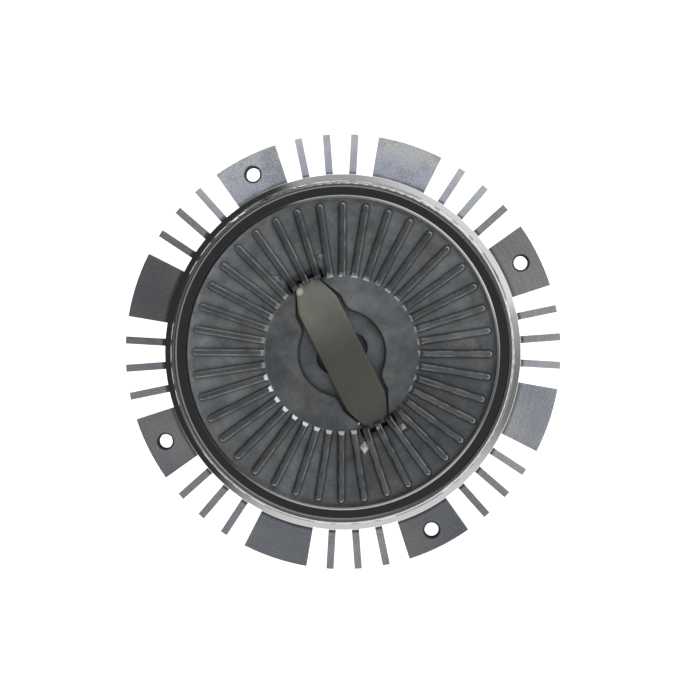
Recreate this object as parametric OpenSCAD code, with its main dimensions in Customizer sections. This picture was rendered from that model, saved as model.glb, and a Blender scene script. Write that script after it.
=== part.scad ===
// Viscous fan clutch with a bimetal strip on its front cover.
// The drive shaft stands upright: its rear end lies at z = 0 and the front of the clutch faces +Z.
// Every other lug is drilled for the fan, and the first drilled lug points along +X.

/* [Body] */
// Diameter over the tips of the lugs and fins
tip_d = 180; // [174:1:188]
// Radial length of the lugs and fins beyond the outer wall
lug_l = 16.5; // [15:0.5:18]
// Thickness of the rear wall of the working chamber
back_wall_t = 6; // [5:0.25:8]
// Outer diameter of the bearing hub
hub_d = 62; // [60:0.5:66]
// Wall left outside the seat of the cover
seat_wall = 5; // [4.6:0.1:5.4]
// Step from the cover seat in to the bore of the cover's skirt
seat_step = 5.8; // [5:0.1:6.4]
// Step from the skirt's bore in to the working chamber, which carries the intermediate disc
disc_step = 1.9; // [1.6:0.1:2.4]

/* [Lugs and fins] */
// Number of lugs, every other one drilled
lug_count = 8; // [6:2:8]
// Thickness of a lug
lug_t = 5; // [4:0.25:7]
// Diameter of a fan bolt hole
bolt_hole_d = 6.6; // [5.5:0.1:8.4]
// Distance from the middle of a fan bolt hole to the tip of its lug
bolt_inset = 7.7; // [6.5:0.1:8.5]
// Chamfer at both mouths of a fan bolt hole
bolt_hole_chamfer = 0.25; // [0.1:0.05:0.5]
// Width of the fins behind the rear wall and of the ribs behind the lugs
fin_w = 3.3; // [3.1:0.1:4]
// Width of a fin's front face
fin_face_w = 3; // [2.5:0.1:3.2]
// Draft of a fin's sides outside the wall, which makes it thinner towards the rear
fin_draft = 3; // [2:0.25:3.5]
// Depth of a fin at its tip, along the axis
fin_tip_depth = 5; // [4:0.25:8]
// Depth of a fin at the outer wall
fin_root_depth = 16; // [12:0.5:17]
// Height of the fins behind the rear wall
fin_back_h = 7; // [5:0.5:9]

/* [Rim] */
// Thickness of the rim's lip over the cover
lip_t = 2.1; // [1.8:0.1:2.6]
// Width of the cover's edge that the lip holds
lip_cover = 5; // [4.4:0.1:5.2]
// Width of the bevel from the lip's inner edge down to the groove
lip_bevel_w = 1.1; // [0.9:0.05:1.3]
// Depth of the shallow groove between the two edges of the rim
rim_groove = 0.8; // [0.6:0.05:1]
// Radius of the rim's outer front edge
crest_round = 1; // [0.8:0.05:1.2]
// Width of the flat crest between its two rounded edges
crest_w = 0.9; // [0.7:0.05:1.1]
// Radius of the crest's inner edge
crest_edge = 0.5; // [0.4:0.05:0.6]
// Height of the steep wall below the rounded edge
steep_h = 3.3; // [2.9:0.1:3.6]
// Radial width of the steep wall
steep_w = 0.8; // [0.5:0.1:1]
// Radial width of the sloping skirt on the wall
skirt_w = 2.2; // [1.6:0.1:2.6]
// Radial width of the skirt's foot on the lugs and fins
skirt_foot = 0.25; // [0.2:0.05:0.6]
// Height of the sloping skirt and its foot
skirt_h = 1.9; // [1.7:0.1:2.2]
// Height of the small step at the skirt's foot
foot_step = 0.2; // [0.1:0.05:0.4]

/* [Cover] */
// Thickness of the cover's edge
flange_t = 3; // [2.6:0.1:3.6]
// Thickness of the ribbed floor
floor_t = 2.8; // [2.4:0.1:3.2]
// Rise of the floor from the lip to the flat centre
dome_rise = 3.9; // [3:0.1:5]
// Flat margin between the lip and the sloping floor
floor_margin = 0.8; // [0.6:0.1:1.2]
// Number of radial ribs
rib_count = 40; // [32:4:44]
// Width of a rib at the floor
rib_w = 3.4; // [3.1:0.1:3.7]
// Width of a rib just below its chamfered upper edges
rib_top_w = 2.1; // [1.9:0.1:2.4]
// Height of a rib above the floor
rib_h = 2.3; // [1.6:0.1:3]
// Diameter of the circle at the feet of the ribs' inner ends
rib_in_d = 63.7; // [63:0.1:65]
// Chamfer along both upper edges of a rib
rib_chamfer = 0.35; // [0.25:0.05:0.45]
// Radial run of the sloping face at a rib's inner end
rib_end_run = 1.5; // [1:0.1:2]
// Height of the upright foot below that face
rib_end_foot = 0.9; // [0.5:0.1:1.2]
// Distance from the edge of the sloping floor to the ribs' round outer ends
rib_out_inset = 0.8; // [0.5:0.1:1.5]
// Diameter of the round pocket under the strip
pocket_d = 35.6; // [33:0.2:38]
// Depth of the pocket and the strip's channel
pocket_depth = 2.6; // [2.3:0.1:2.9]
// Width of the sunk slot round the pin's guide, which lies across the strip
sunk_w = 12.2; // [11.6:0.1:13]
// Length of the sunk slot over its round ends
sunk_l = 22; // [20:0.2:23]
// Depth of the sunk slot below the pocket
sunk_depth = 3; // [2.6:0.1:3.2]
// Radius where the pocket runs into the channel
pocket_fillet = 5; // [4:0.25:6]
// Diameter of a staking mark
stake_d = 2.7; // [2:0.1:2.9]
// Depth of a staking mark
stake_depth = 0.5; // [0.3:0.05:0.7]
// Radius of the circle on which the staking marks lie
stake_r = 40.4; // [39.5:0.1:42]

/* [Bimetal strip] */
// Length of the strip
strip_l = 66; // [65:0.2:67]
// Width of the strip
strip_w = 17.2; // [16:0.1:18.2]
// Thickness of the strip
strip_t = 1.2; // [0.8:0.1:1.4]
// Rise of the strip's middle over its ends when cold
strip_bow = 0.9; // [0.7:0.05:1.1]
// Length over which the strip has its full width
strip_full_l = 45.2; // [40:0.2:50]
// Width of the strip's ends
strip_end_w = 9.2; // [8:0.2:10]
// Radius of the strip's corners in plan
strip_corner = 2.5; // [1:0.25:3]
// Height of the seats under the strip's ends
strip_seat_h = 0.35; // [0.25:0.05:0.5]

/* [Valve] */
// Diameter of the control pin
pin_d = 5; // [4:0.1:5.6]
// Diameter of the pin's nose on the lever
pin_nose_d = 2.4; // [1.6:0.1:3]
// Thickness of the valve lever
lever_t = 0.7; // [0.5:0.05:0.9]
// Width of the valve lever
lever_w = 9; // [8:0.25:11]
// Distance from the axis to the lever's hinge line
lever_root = 28; // [26:0.5:32]
// Distance from the axis to the middle of the valve port
port_r = 20; // [17:0.5:24]
// Diameter of the valve port
port_d = 5; // [4:0.1:6]
// Diameter of the shank of the lever's rivet
lever_rivet_d = 3; // [2.4:0.1:3.2]
// Cross-section diameter of the pin's seal ring
pin_seal_d = 1.6; // [1.2:0.1:1.7]

/* [Working chamber] */
// Height of the working chamber
chamber_h = 9; // [8.5:0.1:11]
// Thickness of the intermediate disc
disc_t = 1.2; // [0.8:0.1:1.6]
// Height of the space above the intermediate disc, up to the cover's edge
reservoir_h = 3.1; // [2.9:0.1:4]
// Gap between the primary disc and the chamber's wall
rotor_edge_gap = 3.2; // [2.8:0.1:3.6]
// Gap between the primary disc and the intermediate disc
rotor_front_gap = 1; // [0.8:0.1:1.3]
// Running gap in the labyrinth
labyrinth_gap = 0.6; // [0.4:0.05:0.7]
// Number of labyrinth rings on the body
land_count = 4; // [2:1:5]
// Distance from one labyrinth ring to the next
land_pitch = 4.4; // [4:0.1:5]
// Width of a labyrinth ring on the body
land_w = 1.4; // [1:0.1:1.7]
// Height of a labyrinth ring
land_h = 2.4; // [1.8:0.1:2.8]
// Number of fluid holes through the primary disc
feed_count = 4; // [2:1:6]
// Diameter of a fluid hole
feed_d = 5; // [3:0.5:7]
// Length of the pump block round the chamber, in degrees
pump_angle = 16; // [14:1:24]
// Height of the pump block
pump_h = 3.5; // [2.5:0.1:4.5]

/* [Bearing] */
// Bore of the bearing
bearing_bore_d = 25; // [24.6:0.1:25.4]
// Outer diameter of the bearing
bearing_od = 52; // [51.6:0.1:53]
// Width of the bearing
bearing_w = 15; // [14.5:0.1:17]
// Number of balls
ball_count = 9; // [7:1:9]
// Diameter of a ball
ball_d = 7.94; // [7.5:0.02:8]
// Thickness of the bearing's circlip
circlip_t = 1.3; // [1:0.1:1.6]
// Depth of the circlip's groove in the hub
circlip_groove = 1.4; // [1:0.1:1.8]

/* [Drive shaft] */
// Width across the flats of the hexagon
hex_af = 32; // [30:0.5:36]
// Height of the hexagon
hex_h = 14; // [11:0.5:20]
// Diameter of the neck between hexagon and bearing
neck_d = 31; // [29:0.25:32]
// Height of the neck
neck_h = 6; // [4.5:0.25:9]
// Core diameter of the threaded bore
thread_core_d = 20.4; // [18:0.1:21]
// Depth of the threaded bore
thread_depth = 18; // [12:0.5:18]
// Diameter of the seat of the primary disc
rotor_seat_d = 22; // [20:0.25:23]

/* [Clearances] */
// Radial gap of a pressed or clamped fit
fit_gap = 0.02; // [0.01:0.01:0.04]
// Radial gap of a sliding or rolling fit
run_gap = 0.06; // [0.04:0.01:0.08]
// Gap between parts that lie loosely side by side
free_gap = 0.25; // [0.2:0.05:0.3]

/* [Hidden] */
$fn = 96;

// Overshoot of a cut past the face that it opens
over = 1;

// Radii of the body, from the tips in to the hub
tip_r = tip_d / 2;
wall_r = tip_r - lug_l;
foot_r = wall_r + skirt_foot;
steep_foot_r = wall_r - skirt_w;
steep_top_r = steep_foot_r - steep_w;
crest_r = steep_top_r - crest_round;
crest_in_r = crest_r - crest_w;
seat_r = wall_r - seat_wall;
lip_r = seat_r - lip_cover;
lip_land = 0.1;
skirt_bore_r = seat_r - seat_step;
chamber_r = skirt_bore_r - disc_step;
hub_r = hub_d / 2;
bolt_circle_r = tip_r - bolt_inset;

// Heights up the axis, from the rear end of the shaft to the front of the cover
bearing_z = hex_h + neck_h;
bearing_top = bearing_z + bearing_w;
circlip_room = 1.7;
floor_z = bearing_top + circlip_t + circlip_room;
back_z = floor_z - back_wall_t;
disc_z = floor_z + chamber_h;
disc_top = disc_z + disc_t;
flange_z = disc_top + reservoir_h;
lip_z = flange_z + flange_t;
crest_z = lip_z + lip_t;
crest_sink = 0.03;
crest_flat_z = crest_z - crest_sink;
steep_top_z = crest_z - crest_round;
steep_foot_z = steep_top_z - steep_h;
skirt_foot_z = steep_foot_z - skirt_h;
lug_z = skirt_foot_z - foot_step;
face_z = lip_z + dome_rise;
pocket_z = face_z - pocket_depth;
sunk_z = pocket_z - sunk_depth;

// Lugs and fins: six places to a sector, the lug on three of them and a fin on each of the others.
// The seam of the turned wall lies in the gap beside a lug.
sector = 360 / lug_count;
fin_pitch = sector / 6;
fin_places = [2, 3, 4];
lug_angle = 2 * (fin_pitch + asin(fin_face_w / 2 / wall_r));
lug_rib_inset = 0.6;
seam_angle = 1.5 * fin_pitch;
foot_drop = 0.12;
skirt_wall_z = skirt_foot_z + skirt_h * skirt_foot / (skirt_w + skirt_foot);
foot_top_z = skirt_wall_z - foot_drop;
fin_rear_z = back_z - fin_back_h;
fin_tip_rear_z = lug_z - fin_tip_depth;
fin_root_rear_z = lug_z - fin_root_depth;
fin_draft_start = 0.3;
fin_hub_slope = 3;
fin_root_sink = 3;
fin_shoulder = 2;
hub_rear_lip = 2;
hub_rear_z = bearing_z - hub_rear_lip;
hub_chamfer = 1;
hub_fillet = 3;
back_chamfer = 2;
rear_seal_edge = 3.4;

// Cover
flange_r = seat_r - fit_gap;
floor_r = lip_r - floor_margin;
rib_in_r = rib_in_d / 2;
rib_out_r = floor_r - rib_out_inset;
rib_pitch = 360 / rib_count;
rib_turns = [for (rib = [0 : rib_count - 1]) rib * rib_pitch];
rib_sink = 1;
rib_cap_inset = 0.03;
dome_slope = atan(dome_rise / (floor_r - rib_in_r));
cover_skirt_w = 1.6;
cover_skirt_r = skirt_bore_r - fit_gap;
cover_skirt_in_r = cover_skirt_r - cover_skirt_w;
stake_angle = 1.5 * rib_pitch;
strip_turn = 90;
hook_turns = [for (end = [0, 1], side = [-1, 0, 1]) strip_turn + end * 180 + side * rib_pitch];
boss_r = stake_r + stake_d / 2;
boss_t = 2.6;
boss_z = pocket_z - boss_t;
guide_boss_margin = 2;
guide_boss_r = sunk_l / 2 + guide_boss_margin;
guide_floor_t = 1.6;
guide_boss_z = sunk_z - guide_floor_t;
guide_wall = 1;
guide_top_drop = 0.3;
channel_side = 1.4;
channel_half_w = strip_w / 2 + channel_side;
end_slot_side = 3;
end_slot_half_w = strip_end_w / 2 + end_slot_side;
end_slot_reach = 1.8;
end_slot_r = strip_l / 2 + end_slot_reach;
function floor_top(r) = lip_z + dome_rise * (floor_r - r) / (floor_r - rib_in_r);

// Seal ring under the cover's edge
cover_seal_d = 1.6;
cover_seal_room = 0.2;
cover_seal_r = (seat_r + skirt_bore_r) / 2;

// Strip, bowed along Y on a wide cylinder
strip_end_z = pocket_z + strip_seat_h;
strip_bow_r = pow(strip_l / 2, 2) / (2 * strip_bow) + strip_bow / 2;
strip_mid_z = strip_end_z + strip_bow;
strip_bow_facets = 1440;
strip_seat_l = 3;
strip_hook_gap = 0.65;
strip_hook_z = strip_end_z + strip_t + strip_hook_gap;

// Valve
pin_r = pin_d / 2;
lever_z = disc_top;
lever_top = lever_z + lever_t;
lever_rivet_x = -lever_root + lever_w / 2;
pin_nose_h = 0.8;
pin_nose_gap = 0.1;
pin_bottom = lever_top + pin_nose_gap;
pin_top = strip_mid_z - fit_gap;
pin_seal_z = pocket_z - guide_top_drop - pin_seal_d;
pin_seal_room = 0.2;
rivet_head_h = 0.9;
rivet_foot_h = 0.4;
rivet_foot_margin = 0.7;
rivet_head_margin = 1.1;

// Working chamber
rotor_r = chamber_r - rotor_edge_gap;
rotor_top = disc_z - rotor_front_gap;
rotor_web_z = floor_z + land_h + labyrinth_gap;
rotor_land_w = land_pitch - land_w - 2 * labyrinth_gap;
rotor_hub_wall = 4;
rotor_hub_r = bearing_bore_d / 2 + rotor_hub_wall;
rotor_rim_land_r = rotor_r - rotor_land_w;
feed_r = rotor_hub_r + feed_d;
pump_r_in = rotor_r + labyrinth_gap;
pump_r_out = chamber_r - free_gap;
pump_rivet_d = 1.2;
pump_rivet_r = (pump_r_in + pump_r_out) / 2;
pump_rivet_head_d = 2;
pump_rivet_head_h = 0.6;
pump_at = 135;
pump_rivet_angle = pump_angle / 4;
return_hole_d = 1.6;
return_hole_lead = 4;
return_hole_at = pump_at + pump_angle / 2 + return_hole_lead;

// Bearing
inner_bore_r = bearing_bore_d / 2;
outer_r = bearing_od / 2;
bearing_mid_z = bearing_z + bearing_w / 2;
pitch_r = (inner_bore_r + outer_r) / 2;
ball_r = ball_d / 2;
groove_r = ball_r + run_gap;
inner_shoulder = 2.05;
inner_shoulder_r = pitch_r - inner_shoulder;
outer_shoulder = 2.65;
outer_shoulder_r = pitch_r + outer_shoulder;
seal_t = 1;
seal_inset = 0.3;
seal_seat = 0.5;
cage_half_w = 1.1;
cage_front = ball_r + 1.2;
cage_rear = 2.5;
circlip_w = 2.6;
circlip_opening = 30;
circlip_ear_d = 5;
circlip_eye_d = 2;

// Shaft
hex_corner_r = hex_af / 2 / cos(30);
hex_chamfer_slope = tan(30);
thread_r = thread_core_d / 2;
thread_mouth = 1;
drill_point_slope = tan(31);
rotor_seat_r = rotor_seat_d / 2;
shaft_end_drop = 0.7;
shaft_end_chamfer = 0.8;

// Turned solid from the outline of its half-section
module turned(outline) {
    rotate_extrude(convexity = 8) polygon(outline);
}

// Plain ring between two radii and two heights
module ring(r_in, r_out, z_low, z_high) {
    turned([[r_in, z_low], [r_out, z_low], [r_out, z_high], [r_in, z_high]]);
}

// Round-section ring
module round_ring(centre_r, section_d, z) {
    translate([0, 0, z]) rotate_extrude() translate([centre_r, 0]) circle(d = section_d);
}

// Outer form of the body without its lugs and fins: hub, rear wall, outer wall and rim
module body_form() {
    rotate_extrude(convexity = 8) {
        translate([crest_r, steep_top_z]) circle(r = crest_round);
        translate([crest_in_r, crest_z - crest_edge]) circle(r = crest_edge);
        polygon([
            [0, hub_rear_z], [hub_r - hub_chamfer, hub_rear_z], [hub_r, hub_rear_z + hub_chamfer],
            [hub_r, back_z - hub_fillet], [hub_r + hub_fillet, back_z],
            [wall_r - back_chamfer, back_z], [wall_r, back_z + back_chamfer],
            [wall_r, skirt_wall_z], [steep_foot_r, steep_foot_z],
            [steep_top_r, steep_top_z], [crest_r, steep_top_z], [crest_r, crest_flat_z],
            [crest_in_r, crest_flat_z], [crest_in_r, crest_z - rim_groove],
            [lip_r + lip_land + lip_bevel_w, crest_z - rim_groove], [lip_r + lip_land, crest_z],
            [lip_r, crest_z], [lip_r, lip_z], [0, lip_z]
        ]);
    }
}

// Half-section of the lugs and fins beside the wall, with the turned foot of the skirt
function foot_outline(tip_over) = [
    [wall_r - fin_root_sink, foot_top_z], [wall_r, foot_top_z],
    [foot_r, skirt_foot_z], [foot_r, lug_z], [tip_r + tip_over, lug_z]
];

// Rear edge of a fin or a lug's rib, from the tip in over the rear wall to the hub
function fin_rear_outline() = [
    [tip_r, fin_tip_rear_z], [wall_r, fin_root_rear_z], [wall_r - fin_shoulder, fin_rear_z],
    [hub_r + fin_hub_slope, fin_rear_z], [hub_r - fin_root_sink, back_z],
    [hub_r - fin_root_sink, back_z + over], [wall_r - fin_root_sink, back_z + over]
];

// Upright plate along +X from its outline in radius and height
module fin_plate(outline) {
    rotate([90, 0, 0]) linear_extrude(height = fin_w, center = true) polygon(outline);
}

// Cut that gives one side of a fin its draft from the front face to the rear
module draft_cut(side) {
    size = [lug_l + fin_draft_start + 2 * over, fin_w, fin_root_depth + 2 * over];
    translate([wall_r - fin_draft_start, side * fin_face_w / 2, lug_z]) rotate([-side * fin_draft, 0, 0])
        translate([0, side * size.y / 2 - size.y / 2, over - size.z]) cube(size);
}

// Cooling fins, which run over the rear wall and out past the rim
module body_fins() {
    intersection() {
        cylinder(r = tip_r, h = crest_z);
        for (lug = [0 : lug_count - 1], place = fin_places)
            rotate([0, 0, lug * sector + place * fin_pitch]) difference() {
                fin_plate(concat(foot_outline(over), fin_rear_outline()));
                draft_cut(1);
                draft_cut(-1);
            }
    }
}

// Ribs behind each lug, one inside each of its edges
module lug_ribs() {
    rib_top_z = lug_z - lug_t / 2;
    root_r = wall_r - fin_root_sink;
    rib_angle = lug_angle / 2 - asin((fin_w / 2 + lug_rib_inset) / root_r);
    intersection() {
        cylinder(r = tip_r - lug_rib_inset, h = crest_z);
        for (lug = [0 : lug_count - 1], side = [-1, 1])
            rotate([0, 0, lug * sector + side * rib_angle])
                fin_plate(concat([[root_r, rib_top_z], [tip_r, rib_top_z]], fin_rear_outline()));
    }
}

// Flat lugs with arc-shaped tips
module body_lugs() {
    lug_rear = [[tip_r, lug_z - lug_t], [wall_r - fin_root_sink, lug_z - lug_t]];
    for (lug = [0 : lug_count - 1])
        rotate([0, 0, lug * sector - lug_angle / 2])
            rotate_extrude(angle = lug_angle) polygon(concat(foot_outline(0), lug_rear));
}

// Fan bolt holes with chamfered mouths
module bolt_holes() {
    hole_r = bolt_hole_d / 2;
    for (lug = [0 : 2 : lug_count - 1])
        rotate([0, 0, lug * sector]) translate([bolt_circle_r, 0, lug_z - lug_t]) turned([
            [0, -over], [hole_r + bolt_hole_chamfer, -over], [hole_r + bolt_hole_chamfer, 0],
            [hole_r, bolt_hole_chamfer], [hole_r, lug_t - bolt_hole_chamfer],
            [hole_r + bolt_hole_chamfer, lug_t], [hole_r + bolt_hole_chamfer, lug_t + over], [0, lug_t + over]
        ]);
}

// Bores of the body from the bearing seat up to the seat of the cover, with two ring grooves
module body_bores() {
    groove_z = bearing_top + fit_gap;
    turned([
        [0, hub_rear_z - over], [outer_r - rear_seal_edge, hub_rear_z - over],
        [outer_r - rear_seal_edge, bearing_z], [outer_r + fit_gap, bearing_z],
        [outer_r + fit_gap, groove_z], [outer_r + circlip_groove, groove_z],
        [outer_r + circlip_groove, groove_z + circlip_t + 2 * fit_gap],
        [outer_r + fit_gap, groove_z + circlip_t + 2 * fit_gap], [outer_r + fit_gap, floor_z],
        [chamber_r, floor_z], [chamber_r, disc_z], [skirt_bore_r, disc_z], [skirt_bore_r, flange_z],
        [seat_r, flange_z], [seat_r, lip_z], [lip_r, lip_z], [lip_r, lip_z + over], [0, lip_z + over]
    ]);
    ring(
        cover_seal_r - cover_seal_d / 2 - cover_seal_room, cover_seal_r + cover_seal_d / 2 + cover_seal_room,
        flange_z - cover_seal_d - 2 * fit_gap, flange_z + over
    );
}

module clutch_body() {
    color("#8d9090") {
        difference() {
            union() {
                rotate([0, 0, seam_angle]) body_form();
                body_fins();
                body_lugs();
                lug_ribs();
            }
            rotate([0, 0, seam_angle]) body_bores();
            bolt_holes();
        }
        for (land = [0 : land_count - 1]) {
            land_r = rotor_rim_land_r - labyrinth_gap - land * land_pitch;
            ring(land_r - land_w, land_r, floor_z - over, floor_z + land_h);
        }
    }
}

// Right half of a rib's cross-section, drawn in by an inset: drafted side, chamfered edge and top
function rib_half(inset) = [
    [rib_w / 2 - inset, -rib_sink], [rib_w / 2 - inset, 0],
    [rib_top_w / 2 - inset, rib_h - rib_chamfer - inset],
    [rib_top_w / 2 - rib_chamfer - inset, rib_h - inset]
];

// Radial ribs that follow the sloping floor of the cover, with a sloping inner face and a round outer end
module cover_ribs(turns) {
    face_reach = 2;
    end_rise = face_reach * (rib_h - rib_end_foot);
    in_foot_z = face_z + rib_end_foot;
    rib_l = (rib_out_r - rib_in_r) / cos(dome_slope) - rib_w / 2;
    right = rib_half(0);
    left = [for (place = [len(right) - 1 : -1 : 0]) [-right[place].x, right[place].y]];
    cap = concat([[0, -rib_sink]], rib_half(rib_cap_inset), [[0, rib_h - rib_cap_inset]]);
    intersection() {
        turned([
            [rib_in_r, face_z - over], [rib_in_r, in_foot_z],
            [rib_in_r + face_reach * rib_end_run, in_foot_z + end_rise],
            [floor_r, in_foot_z + end_rise], [floor_r, lip_z - over]
        ]);
        for (turn = turns)
            rotate([0, 0, turn]) translate([rib_in_r, 0, face_z]) rotate([0, dome_slope, 0]) {
                translate([-over, 0, 0]) rotate([90, 0, 90])
                    linear_extrude(height = rib_l + over) polygon(concat(right, left));
                translate([rib_l, 0, 0]) turned(cap);
            }
    }
}

// Plan of the pocket: a circle, the strip's channel and a fillet in each of their four corners
module pocket_plan() {
    pocket_r = pocket_d / 2;
    fillet_x = channel_half_w + pocket_fillet;
    fillet_y = sqrt(pow(pocket_r + pocket_fillet, 2) - pow(fillet_x, 2));
    touch = pocket_r / (pocket_r + pocket_fillet);
    circle(r = pocket_r);
    intersection() {
        square([2 * channel_half_w, strip_l + 2 * end_slot_reach], center = true);
        circle(r = rib_in_r);
    }
    for (side = [0, 1], end = [0, 1])
        mirror([side, 0]) mirror([0, end]) difference() {
            polygon([
                [0, fillet_y], [0, 0], [fillet_x * touch, fillet_y * touch],
                [fillet_x, fillet_y]
            ]);
            translate([fillet_x, fillet_y]) circle(r = pocket_fillet);
        }
}

// Plan of the sunk slot, which lies across the strip
module sunk_plan() {
    end_x = (sunk_l - sunk_w) / 2;
    square([2 * end_x, sunk_w], center = true);
    for (side = [-1, 1])
        translate([side * end_x, 0]) circle(d = sunk_w);
}

// Slots for the strip's ends, which leave the tips of the nearest ribs standing over them
module end_slots(cut_h) {
    slot_size = [2 * end_slot_half_w, 2 * end_slot_r, cut_h];
    difference() {
        translate([0, 0, pocket_z + cut_h / 2]) cube(slot_size, center = true);
        intersection() {
            translate([0, 0, strip_hook_z + cut_h / 2]) cube(slot_size + [over, over, 0], center = true);
            cover_ribs(hook_turns);
        }
    }
}

// Hollows of the cover's front: pocket, slots for the strip's ends and the sunk slot round the guide
module cover_hollows() {
    guide_r = pin_r + pin_seal_d + guide_wall;
    cut_h = face_z - pocket_z + rib_h + over;
    translate([0, 0, pocket_z]) linear_extrude(height = cut_h) pocket_plan();
    end_slots(cut_h);
    translate([0, 0, sunk_z]) linear_extrude(height = sunk_depth + over) difference() {
        sunk_plan();
        circle(r = guide_r);
    }
    translate([0, 0, pocket_z - guide_top_drop]) linear_extrude(height = guide_top_drop + over) sunk_plan();
}

// Punch marks that hold the ends of the strip
module staking_marks() {
    for (end = [0, 1], side = [-1, 1])
        rotate([0, 0, strip_turn + end * 180 + side * stake_angle])
            translate([stake_r, 0, floor_top(stake_r) - stake_depth])
                cylinder(d = stake_d, h = stake_depth + over);
}

module front_cover() {
    color("#4b4f52") {
        difference() {
            union() {
                turned([
                    [0, face_z], [rib_in_r, face_z], [floor_r, lip_z],
                    [flange_r, lip_z], [flange_r, flange_z],
                    [cover_skirt_r, flange_z], [cover_skirt_r, disc_top], [cover_skirt_in_r, disc_top],
                    [cover_skirt_in_r, floor_top(cover_skirt_in_r) - floor_t],
                    [boss_r, floor_top(boss_r) - floor_t], [boss_r, boss_z], [guide_boss_r, boss_z],
                    [guide_boss_r, guide_boss_z], [0, guide_boss_z]
                ]);
                cover_ribs(rib_turns);
            }
            cover_hollows();
            staking_marks();
            translate([0, 0, guide_boss_z - over])
                cylinder(r = pin_r + run_gap, h = face_z - guide_boss_z + 2 * over);
            ring(
                pin_r, pin_r + run_gap + pin_seal_d + fit_gap,
                pin_seal_z - pin_seal_d / 2 - pin_seal_room / 2,
                pin_seal_z + pin_seal_d / 2 + pin_seal_room / 2
            );
        }
        for (end = [-1, 1])
            translate([0, end * (strip_l / 2 - strip_seat_l / 2), pocket_z + strip_seat_h / 2 - fit_gap])
                cube([2 * end_slot_half_w, strip_seat_l, strip_seat_h], center = true);
    }
}

module cover_seal() {
    color("#1c1c1c") round_ring(cover_seal_r, cover_seal_d, flange_z - cover_seal_d / 2 - fit_gap);
}

// Plan of the strip: full width in the middle, tapered to rounded ends
module strip_plan() {
    half_l = strip_l / 2;
    half_w = strip_w / 2;
    half_end = strip_end_w / 2;
    half_full = strip_full_l / 2;
    offset(r = strip_corner) offset(delta = -strip_corner) polygon([
        [-half_w, -half_full], [-half_end, -half_l], [half_end, -half_l], [half_w, -half_full],
        [half_w, half_full], [half_end, half_l], [-half_end, half_l], [-half_w, half_full]
    ]);
}

module bimetal_strip() {
    bow_axis_z = strip_mid_z - strip_bow_r;
    color("#5c5b52") intersection() {
        translate([0, 0, strip_end_z - over])
            linear_extrude(height = strip_bow + strip_t + 2 * over) strip_plan();
        translate([0, 0, bow_axis_z]) rotate([0, 90, 0]) difference() {
            cylinder(r = strip_bow_r + strip_t, h = 2 * strip_w, center = true, $fn = strip_bow_facets);
            cylinder(r = strip_bow_r, h = 2 * strip_w + over, center = true, $fn = strip_bow_facets);
        }
    }
}

module control_pin() {
    color("#b9bcbe") turned([
        [0, pin_bottom], [pin_nose_d / 2, pin_bottom], [pin_r, pin_bottom + pin_nose_h],
        [pin_r, pin_top], [0, pin_top]
    ]);
}

module pin_seal() {
    color("#1c1c1c") round_ring(pin_r + run_gap + pin_seal_d / 2, pin_seal_d, pin_seal_z);
}

module intermediate_disc() {
    color("#a4a6a4") difference() {
        translate([0, 0, disc_z]) cylinder(r = skirt_bore_r - fit_gap, h = disc_t);
        translate([port_r, 0, disc_z - over]) cylinder(d = port_d, h = disc_t + 2 * over);
        translate([lever_rivet_x, 0, disc_z - over])
            cylinder(r = lever_rivet_d / 2 + fit_gap, h = disc_t + 2 * over);
        for (side = [-1, 1])
            rotate([0, 0, pump_at + side * pump_rivet_angle]) translate([pump_rivet_r, 0, disc_z - over])
                cylinder(r = pump_rivet_d / 2 + fit_gap, h = disc_t + 2 * over);
        rotate([0, 0, return_hole_at]) translate([pump_rivet_r, 0, disc_z - over])
            cylinder(d = return_hole_d, h = disc_t + 2 * over);
    }
}

// Leaf that closes the valve port and turns up about the line at its root
module valve_lever() {
    color("#c3c4c0") translate([0, 0, lever_z]) difference() {
        union() {
            translate([-lever_root, -lever_w / 2, 0]) cube([lever_root + port_r, lever_w, lever_t]);
            translate([port_r, 0, 0]) cylinder(d = lever_w, h = lever_t);
        }
        translate([lever_rivet_x, 0, -over])
            cylinder(r = lever_rivet_d / 2 + free_gap, h = lever_t + 2 * over);
    }
}

module lever_rivet() {
    shank_r = lever_rivet_d / 2;
    head_z = lever_top + free_gap;
    color("#b0b1ad") turned([
        [0, disc_z - rivet_foot_h], [shank_r + rivet_foot_margin, disc_z - rivet_foot_h],
        [shank_r + rivet_foot_margin, disc_z], [shank_r, disc_z], [shank_r, head_z],
        [shank_r + rivet_head_margin, head_z], [shank_r + rivet_head_margin, head_z + rivet_head_h / 2],
        [shank_r, head_z + rivet_head_h], [0, head_z + rivet_head_h]
    ]);
}

// Block beside the primary disc that sends the fluid back through the return hole
module pump_block() {
    color("#5f6365") difference() {
        rotate([0, 0, pump_at - pump_angle / 2]) rotate_extrude(angle = pump_angle)
            translate([pump_r_in, disc_z - pump_h]) square([pump_r_out - pump_r_in, pump_h]);
        for (side = [-1, 1])
            rotate([0, 0, pump_at + side * pump_rivet_angle])
                translate([pump_rivet_r, 0, disc_z - pump_h - over])
                    cylinder(r = pump_rivet_d / 2 + fit_gap, h = pump_h + 2 * over);
    }
}

module pump_block_rivets() {
    shank_r = pump_rivet_d / 2;
    color("#b0b1ad") for (side = [-1, 1])
        rotate([0, 0, pump_at + side * pump_rivet_angle]) translate([pump_rivet_r, 0, 0]) turned([
            [0, disc_z - pump_h], [shank_r, disc_z - pump_h], [shank_r, disc_top],
            [pump_rivet_head_d / 2, disc_top], [pump_rivet_head_d / 2, disc_top + pump_rivet_head_h],
            [0, disc_top + pump_rivet_head_h]
        ]);
}

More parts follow.
